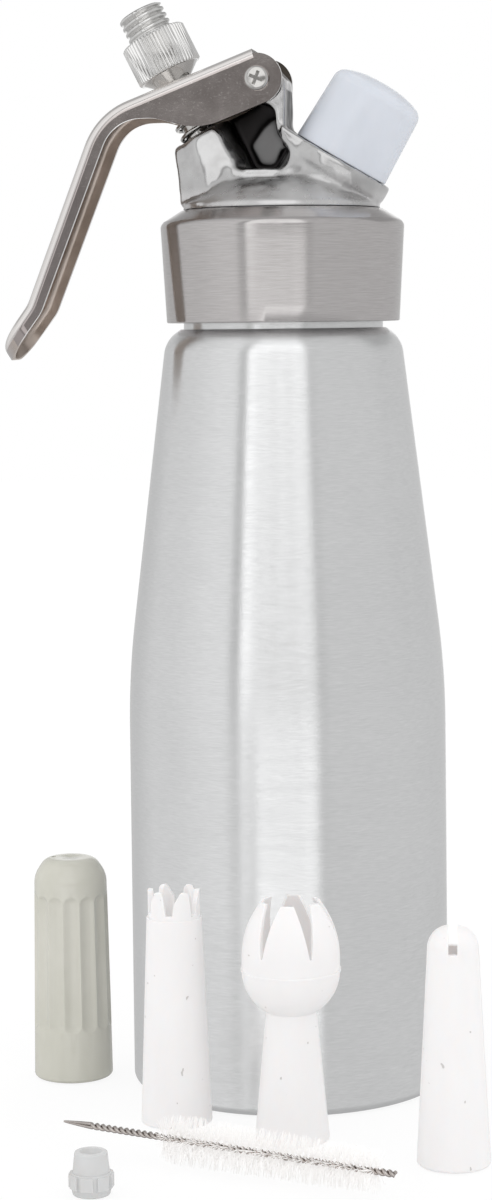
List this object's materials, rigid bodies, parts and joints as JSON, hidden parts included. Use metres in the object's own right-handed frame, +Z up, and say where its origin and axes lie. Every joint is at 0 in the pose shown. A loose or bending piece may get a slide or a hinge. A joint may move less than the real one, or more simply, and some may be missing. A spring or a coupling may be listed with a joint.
{
  "type": "whipped cream dispenser",
  "caption": "Metal cream whipping siphon with squeeze lever and capped charger socket, shown with charger holder, decorating nozzles, tip cap and cleaning brush.",
  "frame": {"origin": "centre of the bottle's flat base", "axes": "+Z up along the bottle's axis; the lever hangs over the -X side and the charger socket leans towards +X"},
  "size_m": [0.1489, 0.1723, 0.3186],
  "materials": {
    "brushed_bottle": "circumferentially brushed, satin",
    "cast_head": "cast, collar turned satin, upper faces polished",
    "silicone_seal": "matte",
    "black_rubber": "matte",
    "brass": "turned",
    "bright_steel": "bright",
    "polished_nickel": "bright nickel plate",
    "polished_lever": "polished stainless sheet with fine scratches",
    "cap_plastic": "semi-gloss, bluish white",
    "holder_plastic": "gloss, ivory grey",
    "nozzle_plastic": "semi-gloss, white",
    "tip_cap_plastic": "slightly translucent white",
    "brush_steel": "drawn wire",
    "nylon_bristles": "white nylon filament"
  },
  "bodies": {
    "bottle": {"bottle": "brushed_bottle"},
    "head": {"head_casting": "cast_head", "head_gasket": "silicone_seal", "gland_bush": "brass", "stem_oring": "black_rubber", "valve_spring": "bright_steel", "pivot_sleeve": "bright_steel", "pivot_screw": "bright_steel", "charger_stud": "brass", "piercing_pin": "bright_steel", "pin_gasket": "black_rubber", "check_valve": "black_rubber"},
    "lever": {"lever": "polished_lever"},
    "valve": {"valve_stem": "bright_steel", "valve_seal": "black_rubber", "spring_washer": "bright_steel", "adapter_cone": "polished_nickel", "nozzle_adapter": "polished_nickel"},
    "charger_cap": {"charger_cap": "cap_plastic"},
    "charger_holder": {"charger_holder": "holder_plastic"},
    "crown_nozzle": {"crown_nozzle": "nozzle_plastic"},
    "tulip_nozzle": {"tulip_nozzle": "nozzle_plastic"},
    "slot_nozzle": {"slot_nozzle": "nozzle_plastic"},
    "tip_cap": {"tip_cap": "tip_cap_plastic"},
    "brush": {"brush_wire": "brush_steel", "brush_bristles": "nylon_bristles"}
  },
  "joints": [
    {"name": "head_lift", "type": "slide", "parent": "bottle", "child": "head", "axis": [0, 0, 1], "range_m": [0, 0.08]},
    {"name": "lever_squeeze", "type": "hinge", "parent": "head", "child": "lever", "pos_m": [-0.0053, 0, 0.295], "axis": [0, -1, 0], "range_deg": [0, 10], "stiffness_Nm_per_rad": 2.7, "springref_deg": -20.05},
    {"name": "valve_press", "type": "slide", "parent": "head", "child": "valve", "axis": [0.4478, 0, -0.8942], "range_m": [0, 0.0042], "deforming": ["valve_spring"]},
    {"name": "charger_cap_off", "type": "slide", "parent": "head", "child": "charger_cap", "axis": [0.515, 0, 0.8572], "range_m": [0, 0.04]},
    {"name": "holder_lift", "type": "slide", "parent": "bottle", "child": "charger_holder", "axis": [0, 0, 1], "range_m": [0, 0.1]},
    {"name": "crown_nozzle_lift", "type": "slide", "parent": "bottle", "child": "crown_nozzle", "axis": [0, 0, 1], "range_m": [0, 0.1]},
    {"name": "tulip_nozzle_lift", "type": "slide", "parent": "bottle", "child": "tulip_nozzle", "axis": [0, 0, 1], "range_m": [0, 0.1]},
    {"name": "slot_nozzle_lift", "type": "slide", "parent": "bottle", "child": "slot_nozzle", "axis": [0, 0, 1], "range_m": [0, 0.1]},
    {"name": "tip_cap_lift", "type": "slide", "parent": "bottle", "child": "tip_cap", "axis": [0, 0, 1], "range_m": [0, 0.05]},
    {"name": "brush_lift", "type": "slide", "parent": "bottle", "child": "brush", "axis": [0, 0, 1], "range_m": [0, 0.05]}
  ],
  "couplings": [
    {"joint": "valve_press", "follows": "lever_squeeze", "m_per_rad": 0.02315}
  ]
}
